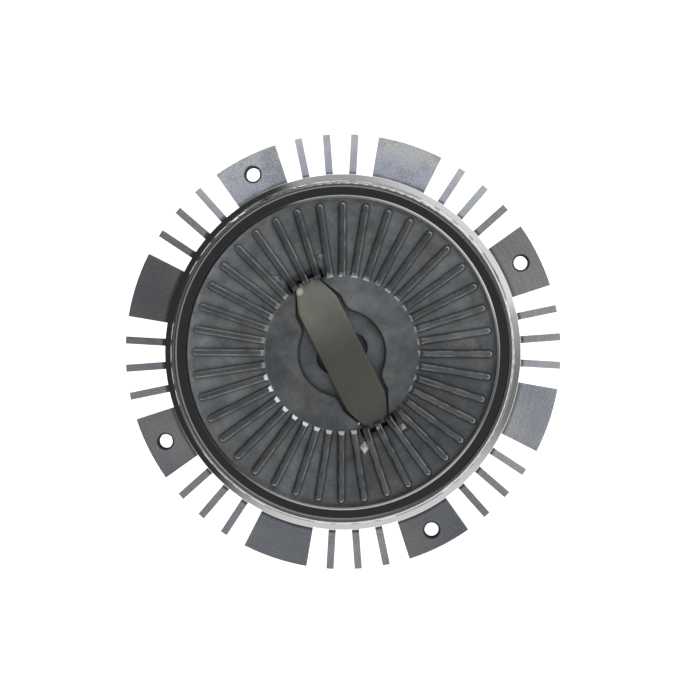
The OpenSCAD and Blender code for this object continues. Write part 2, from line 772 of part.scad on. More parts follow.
// Disc on the shaft, with labyrinth rings that run between those of the body
module primary_disc() {
    color("#9a9d9d") {
        difference() {
            turned([
                [rotor_seat_r + fit_gap, bearing_top], [rotor_hub_r, bearing_top], [rotor_hub_r, rotor_web_z],
                [rotor_r, rotor_web_z], [rotor_r, rotor_top], [rotor_seat_r + fit_gap, rotor_top]
            ]);
            for (hole = [0 : feed_count - 1])
                rotate([0, 0, hole * 360 / feed_count]) translate([feed_r, 0, rotor_web_z - over])
                    cylinder(d = feed_d, h = rotor_top - rotor_web_z + 2 * over);
        }
        for (land = [0 : land_count - 1]) {
            land_r = rotor_r - land * land_pitch;
            ring(land_r - rotor_land_w, land_r, rotor_web_z - land_h, rotor_web_z + over);
        }
    }
}

// Input shaft: hexagon, neck, bearing seat and seat of the primary disc, with a blind threaded bore
module drive_shaft() {
    shaft_top = rotor_top - shaft_end_drop;
    journal_r = inner_bore_r - fit_gap;
    chamfer_h = (hex_corner_r - hex_af / 2) * hex_chamfer_slope;
    color("#a7a9a8") difference() {
        union() {
            intersection() {
                cylinder(r = hex_corner_r, h = hex_h, $fn = 6);
                turned([
                    [0, 0], [hex_af / 2, 0], [hex_corner_r, chamfer_h],
                    [hex_corner_r, hex_h - chamfer_h], [hex_af / 2, hex_h], [0, hex_h]
                ]);
            }
            turned([
                [0, hex_h - over], [neck_d / 2, hex_h - over], [neck_d / 2, bearing_z],
                [journal_r, bearing_z], [journal_r, bearing_top], [rotor_seat_r, bearing_top],
                [rotor_seat_r, shaft_top - shaft_end_chamfer],
                [rotor_seat_r - shaft_end_chamfer, shaft_top], [0, shaft_top]
            ]);
        }
        turned([
            [0, -over], [thread_r + thread_mouth, -over], [thread_r + thread_mouth, 0],
            [thread_r, thread_mouth],
            [thread_r, thread_depth], [0, thread_depth + thread_r * drill_point_slope]
        ]);
    }
}

// Half-section of a bearing ring with its ball groove
module bearing_ring(r_in, r_out) {
    rotate_extrude(convexity = 4) difference() {
        translate([r_in, bearing_z]) square([r_out - r_in, bearing_w]);
        translate([pitch_r, bearing_mid_z]) circle(r = groove_r);
    }
}

module bearing_inner_ring() {
    color("#c4c6c6") bearing_ring(inner_bore_r, inner_shoulder_r);
}

module bearing_outer_ring() {
    seat_depth = seal_t + seal_inset + fit_gap;
    color("#c4c6c6") difference() {
        bearing_ring(outer_shoulder_r, outer_r);
        for (z = [bearing_z - over, bearing_top - seat_depth])
            ring(outer_shoulder_r - over, outer_shoulder_r + seal_seat + fit_gap, z, z + seat_depth + over);
    }
}

module bearing_balls() {
    color("#d4d6d6") for (ball = [0 : ball_count - 1])
        rotate([0, 0, ball * 360 / ball_count]) translate([pitch_r, 0, bearing_mid_z]) sphere(r = ball_r);
}

// Crown-shaped cage, closed on its front side
module bearing_cage() {
    color("#3a3f3a") difference() {
        ring(
            pitch_r - cage_half_w, pitch_r + cage_half_w,
            bearing_mid_z - cage_rear, bearing_mid_z + cage_front
        );
        for (ball = [0 : ball_count - 1])
            rotate([0, 0, ball * 360 / ball_count]) translate([pitch_r, 0, bearing_mid_z])
                sphere(r = ball_r + run_gap);
    }
}

// Washer-shaped seal in the outer ring, clear of the inner ring
module bearing_seal(z) {
    color("#26282a") ring(inner_shoulder_r + free_gap, outer_shoulder_r + seal_seat, z, z + seal_t);
}

module bearing_front_seal() {
    bearing_seal(bearing_top - seal_inset - seal_t);
}

module bearing_rear_seal() {
    bearing_seal(bearing_z + seal_inset);
}

// Spring ring in the hub in front of the bearing, open at one side with an ear at each end
module bearing_circlip() {
    clip_r = outer_r + circlip_groove - fit_gap;
    ear_r = clip_r - circlip_w - circlip_eye_d / 2;
    clip_z = bearing_top + 2 * fit_gap;
    color("#6d7071") difference() {
        union() {
            rotate([0, 0, circlip_opening / 2]) rotate_extrude(angle = 360 - circlip_opening)
                translate([clip_r - circlip_w, clip_z]) square([circlip_w, circlip_t]);
            for (side = [-1, 1])
                rotate([0, 0, side * circlip_opening / 2])
                    translate([ear_r, side * circlip_ear_d / 2, clip_z])
                        cylinder(d = circlip_ear_d, h = circlip_t);
        }
        for (side = [-1, 1])
            rotate([0, 0, side * circlip_opening / 2])
                translate([ear_r, side * circlip_ear_d / 2, clip_z - over])
                    cylinder(d = circlip_eye_d, h = circlip_t + 2 * over);
    }
}

clutch_body();
front_cover();
cover_seal();
bimetal_strip();
control_pin();
pin_seal();
intermediate_disc();
valve_lever();
translate([lever_rivet_x, 0, 0]) lever_rivet();
pump_block();
pump_block_rivets();
primary_disc();
drive_shaft();
bearing_inner_ring();
bearing_outer_ring();
bearing_balls();
bearing_cage();
bearing_front_seal();
bearing_rear_seal();
bearing_circlip();
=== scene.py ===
"""Dresses the CAD model of a viscous fan clutch for its studio picture.

The add-on gives each CAD node its finish and models the bowed bimetal strip, the
corners of its channel, the punch marks beside it and the threads of the drive shaft
and the bolt holes. Then it sets up the floor, the light of the room and the camera.
"""

from math import atan, cos, pi, radians, sin, sqrt

import bpy
from bpy.props import FloatProperty, FloatVectorProperty, IntProperty, PointerProperty
from bpy.types import NodeSocket, Operator, Panel, PropertyGroup
from mathutils import Matrix, Vector


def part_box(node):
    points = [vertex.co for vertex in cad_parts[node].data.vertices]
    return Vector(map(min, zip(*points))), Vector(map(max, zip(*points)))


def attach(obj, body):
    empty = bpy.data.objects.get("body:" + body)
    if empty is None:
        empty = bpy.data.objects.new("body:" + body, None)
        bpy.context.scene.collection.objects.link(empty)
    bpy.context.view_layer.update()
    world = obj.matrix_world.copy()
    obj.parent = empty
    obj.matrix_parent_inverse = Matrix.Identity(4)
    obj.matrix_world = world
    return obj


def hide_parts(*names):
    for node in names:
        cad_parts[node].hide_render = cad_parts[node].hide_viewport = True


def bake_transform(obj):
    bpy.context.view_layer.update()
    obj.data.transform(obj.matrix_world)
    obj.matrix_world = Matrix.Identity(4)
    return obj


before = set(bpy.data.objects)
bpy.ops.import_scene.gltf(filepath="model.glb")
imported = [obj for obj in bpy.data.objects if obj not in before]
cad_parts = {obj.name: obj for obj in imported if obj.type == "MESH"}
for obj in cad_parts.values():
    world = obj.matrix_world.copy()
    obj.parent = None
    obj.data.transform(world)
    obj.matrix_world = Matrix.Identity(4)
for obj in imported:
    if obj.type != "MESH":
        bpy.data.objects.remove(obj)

bl_info = {
    "name": "Fan Clutch Finisher",
    "version": (1, 0, 0),
    "blender": (4, 5, 0),
    "location": "View3D > Sidebar > Fan Clutch",
    "description": "Finishes, bimetal strip and studio for the CAD model of a viscous fan clutch",
    "category": "Object",
}

MM = 0.001

# Painted light and shade: paler and darker patches round the axis, where the light falls brighter or dimmer.
# Heading, half angle of the full patch and of its faded edge in degrees, and the change of brightness.
BODY_PAINTED_LIGHT = ((63, 38, 47, 1.0), (-44.7, 12, 20, 0.6), (135.3, 12, 22, -0.35), (281, 20, 28, -0.22))
COVER_PAINTED_LIGHT = ((139, 15, 60, 0.55), (283, 25, 65, -0.42))

# Places of two painted highlights on the clutch in metres: a dot on a rib nose by the strip's end, and a corner of the
# strip.
BRIGHT_SPOT = (-0.5 * MM, -33.4 * MM, 59.6 * MM)
HIGHLIGHT_CORNER = (-4.3 * MM, 30.3 * MM)


def length(name, default, description):
    """A property in metres."""
    return FloatProperty(name=name, default=default, min=0.0, precision=5, unit="LENGTH", description=description)


def colour(name, default, description):
    """A linear RGB colour property."""
    return FloatVectorProperty(
        name=name, default=default, min=0.0, max=1.0, size=3, subtype="COLOR", description=description
    )


def factor(name, default, description):
    """A property between 0 and 1."""
    return FloatProperty(name=name, default=default, min=0.0, max=1.0, description=description)


def angle(name, default, description):
    """An angle property whose default is given in degrees."""
    return FloatProperty(name=name, default=radians(default), unit="ROTATION", description=description)


class ClutchShape(PropertyGroup):
    """Sizes of the modelled pieces and of the softened edges."""

    body_edge: length("Body Edge", 0.3 * MM, "Width of the softened edges of the body")
    cover_edge: length("Cover Edge", 0.4 * MM, "Width of the softened edges of the cover and its ribs")
    bolt_radius: length("Bolt Radius", 82.3 * MM, "Distance of the bolt holes from the axis")
    bolt_hole: length("Bolt Hole", 3.3 * MM, "Radius of a bolt hole")
    bolt_pitch: length("Bolt Pitch", 1.0 * MM, "Pitch of the threads in the bolt holes")
    bolt_height: length("Bolt Thread Height", 0.4 * MM, "Height of a thread ridge inside a bolt hole")
    bolt_bottom: length("Bolt Thread Bottom", 45.5 * MM, "Height at which the threads in the bolt holes begin")
    bolt_turns: IntProperty(name="Bolt Thread Turns", default=4, min=1, description="Turns of a bolt hole's thread")
    lug_face: length("Lug Face", 50.0 * MM, "Height of the turned faces of the lugs and fins")
    tip_radius: length("Tip Radius", 90.0 * MM, "Radius of the lugs' tips")
    rim_radius: length("Rim Radius", 75.0 * MM, "Radius at which the polished rim begins")
    crest_height: length("Crest Height", 56.0 * MM, "Height at which the rim's crest begins")
    crest_edge: length("Crest Edge", 68.8 * MM, "Radius of the seam at the crest's inner edge")
    shaft_edge: length("Shaft Edge", 0.4 * MM, "Width of the softened edges of the drive shaft")
    rib_count: IntProperty(name="Rib Count", default=40, min=1, description="Ribs on the cover")
    rib_width: length("Rib Width", 3.4 * MM, "Width of a rib at the floor")
    rib_end: length("Rib End", 60.2 * MM, "Radius of the middle of the ribs' round outer ends")
    rib_start: length("Rib Start", 31.85 * MM, "Radius at which the ribs begin")
    face_height: length("Face Height", 58.2 * MM, "Height of the cover's flat centre")
    floor_slope: factor("Floor Slope", 0.1264, "Fall of the cover's floor for each unit outwards")
    pocket_radius: length("Pocket Radius", 17.8 * MM, "Radius of the round pocket under the strip")
    channel_half: length("Channel Half Width", 10.0 * MM, "Half the width of the strip's channel")
    corner_start: length("Corner Start", 21.6 * MM, "Distance from the axis at which the channel begins to narrow")
    corner_end: length("Corner End", 5.44 * MM, "Half the width of the channel at the ribs")
    corner_slope: factor("Corner Slope", 0.47, "How fast each side of the channel closes in on the strip")
    pocket_depth: length("Pocket Depth", 2.6 * MM, "Depth of the pocket and the channel")
    strip_stop: length("Strip Stop", 33.0 * MM, "Distance of the strip's ends from the axis")
    strip_thickness: length("Strip Thickness", 1.2 * MM, "Thickness of the bimetal strip")
    strip_bow: length("Strip Bow", 0.9 * MM, "Rise of the strip's middle over its ends")
    strip_full: length("Strip Full Length", 45.2 * MM, "Length over which the strip has its full width")
    strip_end: length("Strip End Width", 9.2 * MM, "Width at which the strip's sides would meet its ends")
    strip_blunt: length("Strip Blunt", 0.5 * MM, "Softness of the turn where the strip begins to narrow")
    strip_corner: length("Strip Corner", 2.5 * MM, "Radius of the corners of the strip's ends")
    strip_edge: length("Strip Edge", 0.45 * MM, "Width of the strip's worn edges")
    strip_rows: IntProperty(name="Strip Rows", default=56, min=8, description="Rows of faces along the strip")
    thread_pitch: length("Thread Pitch", 1.5 * MM, "Pitch of the thread in the drive shaft")
    thread_height: length("Thread Height", 0.7 * MM, "Height of a thread ridge inside the core bore")
    thread_core: length("Thread Core", 10.2 * MM, "Radius of the core bore")
    thread_bottom: length("Thread Bottom", 1.9 * MM, "Height at which the thread in the drive shaft begins")
    thread_turns: IntProperty(name="Thread Turns", default=10, min=1, description="Turns of the thread")


class ClutchFinish(PropertyGroup):
    """Colours and roughness of the finishes."""

    aluminium: colour("Aluminium", (0.53, 0.53, 0.52), "Machined aluminium of the body")
    blue_aluminium: colour("Blue Aluminium", (0.44, 0.46, 0.52), "Blue tint of the machined aluminium in places")
    polished: colour("Polished Aluminium", (0.79, 0.78, 0.755), "Polished rim of the body")
    cast_body: colour("Cast Body", (0.30, 0.30, 0.295), "Cast skin on the sides and the rear of the body")
    cover: colour("Cover", (0.255, 0.268, 0.28), "Cast front cover")
    # Bare metal of the worn rib edges, and painted highlights on the rib noses.
    worn_edge_and_highlight: colour("Bright Nose", (0.85, 0.86, 0.87), "Burnished noses of the cover's ribs")
    # Painted shade: near black put in the bolt holes, at the crest's inner edge, along the ribs' feet and tops, along
    # the pocket's edge and round the strip's ends.
    painted_shade: colour("Cover Grime", (0.05, 0.052, 0.055), "Dark oxide along the feet of the ribs")
    cover_stain: colour("Cover Stain", (0.275, 0.278, 0.262), "Olive stains on the cover's floor")
    bimetal: colour("Bimetal", (0.2, 0.197, 0.17), "Oxidised bimetal strip")
    # Painted highlight on a corner of the strip.
    scuff: colour("Scuff", (0.92, 0.86, 0.72), "Cream scuff on a corner of the strip")
    crushed: colour("Crushed Metal", (0.75, 0.77, 0.72), "Bright metal of the largest punch mark")
    dull_crushed: colour("Dull Crushed Metal", (0.46, 0.46, 0.43), "Metal of the smaller punch marks")
    thread: colour("Bolt Thread", (0.1, 0.1, 0.1), "Oiled threads of the bolt holes")
    steel: colour("Steel", (0.26, 0.26, 0.265), "Turned steel")
    spring: colour("Spring Steel", (0.16, 0.17, 0.18), "Blackened spring steel")
    rubber: colour("Rubber", (0.012, 0.012, 0.013), "Seal rubber")
    plastic: colour("Cage Plastic", (0.03, 0.035, 0.03), "Bearing cage")
    turned_roughness: factor("Turned Roughness", 0.5, "Roughness of the turned lug faces")
    polished_roughness: factor("Polished Roughness", 0.12, "Roughness of the polished rim")
    crest_roughness: factor("Crest Roughness", 0.3, "Roughness of the rim's crest")
    # Roughness of the painted highlights on the rib noses.
    nose_roughness: factor("Nose Roughness", 0.16, "Roughness of the burnished rib noses")
    cast_roughness: factor("Cast Roughness", 0.5, "Roughness of cast faces")


class ClutchStage(PropertyGroup):
    """Camera and light of the studio, seen as the photograph shows the clutch."""

    turn: angle("Turn", 26.7, "Angle of the clutch's X axis above the picture's horizontal")
    lean: angle("Lean", 2.2, "Angle by which the camera leans away from the clutch's axis")
    lean_heading: angle("Lean Heading", 50.0, "Direction in the picture towards which the camera leans")
    distance: length("Distance", 0.65, "Distance from the camera to the plane of the lugs")
    lens: FloatProperty(name="Lens", default=80.85, min=1.0, description="Focal length in millimetres")
    aim_height: length("Aim Height", 50 * MM, "Height of the plane of the lugs")
    offset: FloatVectorProperty(
        name="Offset", default=(3.13 * MM, 1.065 * MM), size=2, unit="LENGTH",
        description="Shift of the framing to the right and up",
    )
    wall_glow: FloatProperty(name="Wall Glow", default=0.39, min=0.0, description="Wall at the upper right")
    window_glow: FloatProperty(name="Window Glow", default=0.42, min=0.0, description="Window in that wall")
    front_glow: FloatProperty(name="Front Glow", default=0.72, min=0.0, description="Wall at the bottom")
    side_glow: FloatProperty(name="Side Glow", default=0.18, min=0.0, description="Wall at the right")
    room_glow: FloatProperty(name="Room Glow", default=0.95, min=0.0, description="Room between wall and ceiling")
    ceiling_glow: FloatProperty(name="Ceiling Glow", default=0.035, min=0.0, description="Dark ceiling over the clutch")
    floor_glow: FloatProperty(name="Floor Glow", default=1.0, min=0.0, description="Light of the white floor")
    floor_radius: length("Floor Radius", 0.26, "Radius of the white floor")
    floor_drop: length("Floor Drop", 0.2 * MM, "Gap between the clutch and the floor")


def select_only(obj):
    """Makes obj the one selected and active object."""
    bpy.ops.object.select_all(action="DESELECT")
    obj.select_set(True)
    bpy.context.view_layer.objects.active = obj


def apply_modifier(obj, name, kind, **settings):
    """Adds a modifier to a new piece and applies it."""
    modifier = obj.modifiers.new(name, kind)
    for key, value in settings.items():
        setattr(modifier, key, value)
    select_only(obj)
    bpy.ops.object.modifier_apply(modifier=modifier.name)


def select_vertices(obj, chosen):
    """Selects in edit mode the vertices whose position satisfies chosen."""
    bpy.ops.object.mode_set(mode="EDIT")
    bpy.ops.mesh.select_mode(type="VERT")
    bpy.ops.mesh.select_all(action="DESELECT")
    bpy.ops.object.mode_set(mode="OBJECT")
    for vertex in obj.data.vertices:
        vertex.select = chosen(vertex.co)
    bpy.ops.object.mode_set(mode="EDIT")


def close_shell(obj):
    """Closes the open ends of a new piece and turns its faces outwards."""
    select_only(obj)
    bpy.ops.object.mode_set(mode="EDIT")
    bpy.ops.mesh.select_all(action="SELECT")
    bpy.ops.mesh.fill_holes(sides=0)
    bpy.ops.mesh.select_all(action="SELECT")
    bpy.ops.mesh.normals_make_consistent(inside=False)
    bpy.ops.object.mode_set(mode="OBJECT")


def model_thread(name, core, height, pitch, turns, bottom):
    """Models the ridge of a thread round the Z axis, inside a bore of radius core."""
    bpy.ops.object.select_all(action="DESELECT")
    bpy.ops.mesh.primitive_circle_add(vertices=3, radius=1.0)
    thread = bpy.context.object
    thread.name = name
    bpy.ops.object.mode_set(mode="EDIT")
    bpy.ops.mesh.select_all(action="SELECT")
    bpy.ops.transform.rotate(value=pi / 2, orient_axis="X", center_override=(0.0, 0.0, 0.0))
    bpy.ops.transform.rotate(value=-pi / 2, orient_axis="Y", center_override=(0.0, 0.0, 0.0))
    bpy.ops.transform.resize(value=(height / 1.5, 1.0, pitch / 2.1), center_override=(0.0, 0.0, 0.0))
    bpy.ops.transform.translate(value=(core - height / 3, 0.0, bottom))
    bpy.ops.object.mode_set(mode="OBJECT")
    apply_modifier(
        thread, "Helix", "SCREW", angle=2 * pi, screw_offset=pitch, iterations=turns, steps=60, render_steps=60,
        use_merge_vertices=False,
    )
    close_shell(thread)
    return thread


class Nodes:
    """A node tree under construction, with short calls for its nodes."""

    def __init__(self, tree):
        self.tree = tree

    def node(self, kind, inputs, output=0, **settings):
        """Adds a node and returns one of its outputs. Inputs are sockets or plain values."""
        node = self.tree.nodes.new(kind)
        for key, value in settings.items():
            setattr(node, key, value)
        for key, value in inputs.items():
            if isinstance(value, NodeSocket):
                self.tree.links.new(value, node.inputs[key])
            else:
                node.inputs[key].default_value = value
        return node.outputs[output]

    def math(self, operation, *values):
        """A math node."""
        return self.node("ShaderNodeMath", dict(enumerate(values)), operation=operation)

    def vector(self, operation, *values, output="Vector"):
        """A vector math node."""
        return self.node("ShaderNodeVectorMath", dict(enumerate(values)), output, operation=operation)

    def product(self, first, *others):
        """All the values multiplied."""
        for value in others:
            first = self.math("MULTIPLY", first, value)
        return first

    def invert(self, mask):
        """1 where mask is 0, and 0 where it is 1."""
        return self.math("SUBTRACT", 1.0, mask)

    def change(self, mask, share, base=1.0):
        """Base where mask is 0, and share more where it is 1."""
        return self.math("MULTIPLY_ADD", mask, share, base)

    def beyond(self, value, start):
        """How far value goes beyond start, or 0."""
        return self.math("MAXIMUM", self.math("SUBTRACT", value, start), 0.0)

    def hypotenuse(self, first, second):
        """The distance over two ways at right angles."""
        squares = [self.math("POWER", way, 2.0) for way in (first, second)]
        return self.math("SQRT", self.math("ADD", *squares))

    def step(self, value, low, high):
        """0 at low and 1 at high, smooth between."""
        return self.node(
            "ShaderNodeMapRange",
            {"Value": value, "From Min": low, "From Max": high},
            interpolation_type="SMOOTHSTEP",
        )

    def facing(self, vector, heading, inner, outer):
        """1 where a vector goes within inner degrees of a heading round the Z axis, 0 beyond outer degrees."""
        level = self.vector("NORMALIZE", self.vector("MULTIPLY", vector, (1.0, 1.0, 0.0)))
        along = self.vector("DOT_PRODUCT", level, (cos(heading), sin(heading), 0.0), output="Value")
        return self.step(along, cos(radians(outer)), cos(radians(inner)))


class Surface(Nodes):
    """A material under construction."""

    def __init__(self, name, base, roughness, metallic=1.0):
        self.material = bpy.data.materials.new(name)
        self.material.use_nodes = True
        super().__init__(self.material.node_tree)
        self.shader = self.tree.nodes["Principled BSDF"]
        self.shader.inputs["Base Color"].default_value = (*base, 1.0)
        self.shader.inputs["Roughness"].default_value = roughness
        self.shader.inputs["Metallic"].default_value = metallic

    def place(self):
        """The point on the clutch in metres, and its x, y, z and distance from the axis."""
        if not hasattr(self, "point"):
            self.point = self.node("ShaderNodeTexCoord", {}, "Object")
            split = self.tree.nodes.new("ShaderNodeSeparateXYZ")
            self.tree.links.new(self.point, split.inputs[0])
            self.x, self.y, self.z = split.outputs
            flat = self.vector("MULTIPLY", self.point, (1.0, 1.0, 0.0))
            self.r = self.vector("LENGTH", flat, output="Value")
        return self.point

    def distance(self, place):
        """Distance from a place on the clutch."""
        return self.vector("DISTANCE", self.place(), place, output="Value")

    def noise(self, scale, detail=3.0, vector=None):
        """Noise over the clutch, with scale in cells per metre."""
        vector = vector or self.place()
        inputs = {"Vector": vector, "Scale": scale, "Detail": detail, "Roughness": 0.55}
        return self.node("ShaderNodeTexNoise", inputs)

    def turning(self, cells, sweep=0.6):
        """Noise drawn out round the axis, as a lathe leaves it."""
        self.place()
        inverse = self.math("DIVIDE", sweep, self.r)
        across = self.product(self.math("ADD", self.r, self.z), cells)
        round_x = self.product(self.x, inverse)
        round_y = self.product(self.y, inverse)
        vector = self.node("ShaderNodeCombineXYZ", {"X": across, "Y": round_x, "Z": round_y})
        return self.noise(1.0, 4.0, vector)

    def side(self, heading, inner, outer):
        """1 within inner degrees of a heading round the axis in degrees, 0 beyond outer degrees."""
        return self.facing(self.place(), radians(heading), inner, outer)

    def nearest(self, count):
        """Turn from the nearest of count places round the axis, as a share of their pitch."""
        turn = self.math("DIVIDE", self.math("ARCTAN2", self.y, self.x), 2 * pi / count)
        return self.math("ABSOLUTE", self.math("SUBTRACT", turn, self.math("ROUND", turn)))

    def spread(self, value, low, high):
        """Maps noise from 0.3..0.7 to low..high."""
        return self.node(
            "ShaderNodeMapRange",
            {"Value": value, "From Min": 0.3, "From Max": 0.7, "To Min": low, "To Max": high},
        )

    def mix(self, mask, first, second):
        """A number that goes from first to second with mask."""
        return self.node("ShaderNodeMix", {"Factor": mask, "A": first, "B": second}, data_type="FLOAT")

    def mix_colour(self, mask, first, second, blend="MIX"):
        """A colour that goes from first to second with mask."""
        first, second = (value if isinstance(value, NodeSocket) else (*value, 1.0) for value in (first, second))
        return self.node("ShaderNodeMix", {0: mask, 6: first, 7: second}, 2, data_type="RGBA", blend_type=blend)

    def shade(self, metal, red, blue=None):
        """A colour multiplied by a tone, or by one for red and green and another for blue."""
        tone = self.node("ShaderNodeCombineColor", {"Red": red, "Green": red, "Blue": blue or red})
        return self.mix_colour(1.0, metal, tone, "MULTIPLY")

    def bump(self, height, distance, edge=0.0, sharp=None):
        """Adds relief of that many metres to the surface, and rounds its edges except where sharp is 1."""
        inputs = {"Height": height, "Distance": distance}
        if edge:
            inputs["Normal"] = self.node("ShaderNodeBevel", {"Radius": edge}, samples=6)
        if sharp is not None:
            plain = self.node("ShaderNodeNewGeometry", {}, "Normal")
            normals = {0: sharp, 4: inputs["Normal"], 5: plain}
            inputs["Normal"] = self.node("ShaderNodeMix", normals, 1, data_type="VECTOR")
        self.tree.links.new(self.node("ShaderNodeBump", inputs), self.shader.inputs["Normal"])

    def use(self, **sockets):
        """Links outputs to the shader's sockets, such as base_color."""
        for key, value in sockets.items():
            self.tree.links.new(value, self.shader.inputs[key.replace("_", " ").title()])

    def paint(self, *nodes):
        """Puts the material on CAD nodes."""
        for name in nodes:
            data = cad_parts[name].data
            data.materials.clear()
            data.materials.append(self.material)


class CLUTCH_OT_body(Operator):
    """Soften the body's edges and give it turned, polished and cast faces, with painted light and shade round the axis
    and painted shade at the roots, in the bolt holes and at the crest's inner edge
    """

    bl_idname = "clutch.body"
    bl_label = "Finish Body"

    def hole_rings(self, skin, shape):
        """Mask of the painted shade round the bolt holes: 1 on their chamfers and on the shaded side of their walls."""
        wide, high = (skin.math("ABSOLUTE", way) for way in (skin.x, skin.y))
        along = skin.math("SUBTRACT", skin.math("MAXIMUM", wide, high), shape.bolt_radius)
        away = skin.hypotenuse(along, skin.math("MINIMUM", wide, high))
        ring = skin.step(away, shape.bolt_hole + 0.55 * MM, shape.bolt_hole + 0.25 * MM)
        chamfer = skin.step(skin.z, shape.lug_face - 0.4 * MM, shape.lug_face - 0.25 * MM)
        return skin.product(ring, skin.math("MAXIMUM", skin.side(-45, 60, 80), chamfer))

    def brightness(self, skin, shape, dull, painted_light, clouds, streaks):
        """How bright the dull metal is: cloudy and pitted, with paler fins, painted shade at the roots and painted
        light and shade in patches round the axis.
        """
        fins = skin.product(skin.step(skin.nearest(8), 0.2, 0.26), dull)
        # Painted shade at the roots of the lugs and fins, where the rim begins.
        root_shade = skin.product(
            skin.step(skin.r, shape.rim_radius + 0.4 * MM, shape.rim_radius - 0.8 * MM),
            skin.step(skin.z, shape.lug_face + 0.15 * MM, shape.lug_face + 0.05 * MM),
            skin.change(fins, -0.2, -0.5),
        )
        pitted = skin.product(skin.step(skin.noise(2200.0, 1.0), 0.56, 0.66), skin.change(painted_light, 0.45, 0.15))
        tone = skin.product(
            skin.spread(clouds, 1.12, 0.86),
            skin.spread(skin.noise(1500.0, 2.0), 0.78, 1.18),
            skin.spread(streaks, 0.93, 1.07),
            skin.math("ADD", root_shade, 1.0),
            skin.change(fins, 0.35),
            skin.invert(pitted),
            skin.mix(painted_light, 1.0, skin.spread(skin.noise(150.0, 2.0), 0.72, 1.25)),
        )
        for heading, inner, outer, share in BODY_PAINTED_LIGHT:
            patch = skin.product(skin.side(heading, inner, outer), dull)
            tone = skin.product(tone, skin.change(patch, share))
        return skin.math("MINIMUM", tone, 1.8)

    def execute(self, context):
        shape = context.scene.clutch_shape
        finish = context.scene.clutch_finish
        skin = Surface("body_aluminium", finish.aluminium, finish.turned_roughness)
        skin.place()
        turned = skin.math(
            "MAXIMUM",
            skin.step(skin.z, shape.lug_face - 0.3 * MM, shape.lug_face - 0.1 * MM),
            skin.step(skin.r, shape.tip_radius - 0.5 * MM, shape.tip_radius - 0.2 * MM),
        )
        polished = skin.product(
            skin.step(skin.r, shape.rim_radius, shape.rim_radius - 0.4 * MM),
            skin.step(skin.z, shape.lug_face + 0.05 * MM, shape.lug_face + 0.2 * MM),
        )
        dull = skin.invert(polished)
        # Painted light: the side of the first patch, where the light falls brightest; its dull metal is made paler and
        # less metallic.
        painted_light = skin.side(*BODY_PAINTED_LIGHT[0][:3])
        streaks = skin.turning(6000.0)
        grain = skin.noise(900.0)
        clouds = skin.noise(28.0, 3.0)

        tint = skin.product(painted_light, skin.step(skin.r, shape.tip_radius - 1.5 * MM, shape.tip_radius - 11.0 * MM))
        blue = skin.math("MAXIMUM", skin.product(skin.step(clouds, 0.4, 0.62), 0.7), tint)
        metal = skin.mix_colour(blue, finish.aluminium, finish.blue_aluminium)
        metal = skin.mix_colour(turned, finish.cast_body, metal)
        metal = skin.shade(metal, self.brightness(skin, shape, dull, painted_light, clouds, streaks))
        # Painted shade round the bolt holes: near black, rough and not metallic.
        hole = self.hole_rings(skin, shape)
        metal = skin.mix_colour(skin.product(hole, 0.9), metal, finish.painted_shade)
        # Painted shade: a dark line at the crest's inner edge of the polished rim.
        seam = skin.product(
            skin.step(skin.r, shape.crest_edge + 0.4 * MM, shape.crest_edge),
            skin.step(skin.z, shape.crest_height - 0.2 * MM, shape.crest_height),
        )
        rim = skin.mix_colour(skin.product(seam, 0.6), finish.polished, finish.painted_shade)

        rough = skin.mix(
            turned,
            skin.spread(grain, finish.cast_roughness - 0.08, finish.cast_roughness + 0.08),
            skin.spread(streaks, finish.turned_roughness - 0.05, finish.turned_roughness + 0.05),
        )
        shiny = skin.spread(streaks, finish.polished_roughness - 0.02, finish.polished_roughness + 0.03)
        crest = skin.step(skin.z, shape.crest_height, shape.crest_height + 0.35 * MM)
        shiny = skin.mix(crest, shiny, finish.crest_roughness)
        skin.use(
            base_color=skin.mix_colour(polished, metal, rim),
            roughness=skin.mix(hole, skin.mix(polished, rough, shiny), 1.0),
            # Painted light: less metallic on the painted-light side, so that side shows paler.
            metallic=skin.product(skin.invert(hole), skin.change(skin.product(painted_light, dull), -0.8)),
        )
        relief = skin.mix(turned, grain, skin.product(streaks, 0.15))
        skin.bump(skin.product(relief, dull), 0.05 * MM, shape.body_edge, polished)
        skin.paint("clutch_body")
        return {"FINISHED"}


class CLUTCH_OT_bolt_threads(Operator):
    """Model the threads in the four bolt holes of the lugs"""

    bl_idname = "clutch.bolt_threads"
    bl_label = "Model Bolt Threads"

    def execute(self, context):
        shape = context.scene.clutch_shape
        finish = context.scene.clutch_finish
        skin = Surface("bolt_thread", finish.thread, 0.6)
        skin.use(roughness=skin.spread(skin.noise(900.0), 0.5, 0.7))
        thread = model_thread(
            "bolt_thread_right", shape.bolt_hole, shape.bolt_height, shape.bolt_pitch, shape.bolt_turns,
            shape.bolt_bottom,
        )
        thread.data.materials.append(skin.material)
        threads = [thread]
        for name in ("upper", "left", "lower"):
            select_only(thread)
            bpy.ops.object.duplicate(linked=False)
            context.object.name = "bolt_thread_" + name
            threads.append(context.object)
        for quarter, thread in enumerate(threads):
            heading = quarter * pi / 2
            select_only(thread)
            bpy.ops.object.mode_set(mode="EDIT")
            bpy.ops.mesh.select_all(action="SELECT")
            bpy.ops.transform.translate(value=Vector((cos(heading), sin(heading), 0.0)) * shape.bolt_radius)
            bpy.ops.object.mode_set(mode="OBJECT")
            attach(thread, "housing")
        return {"FINISHED"}


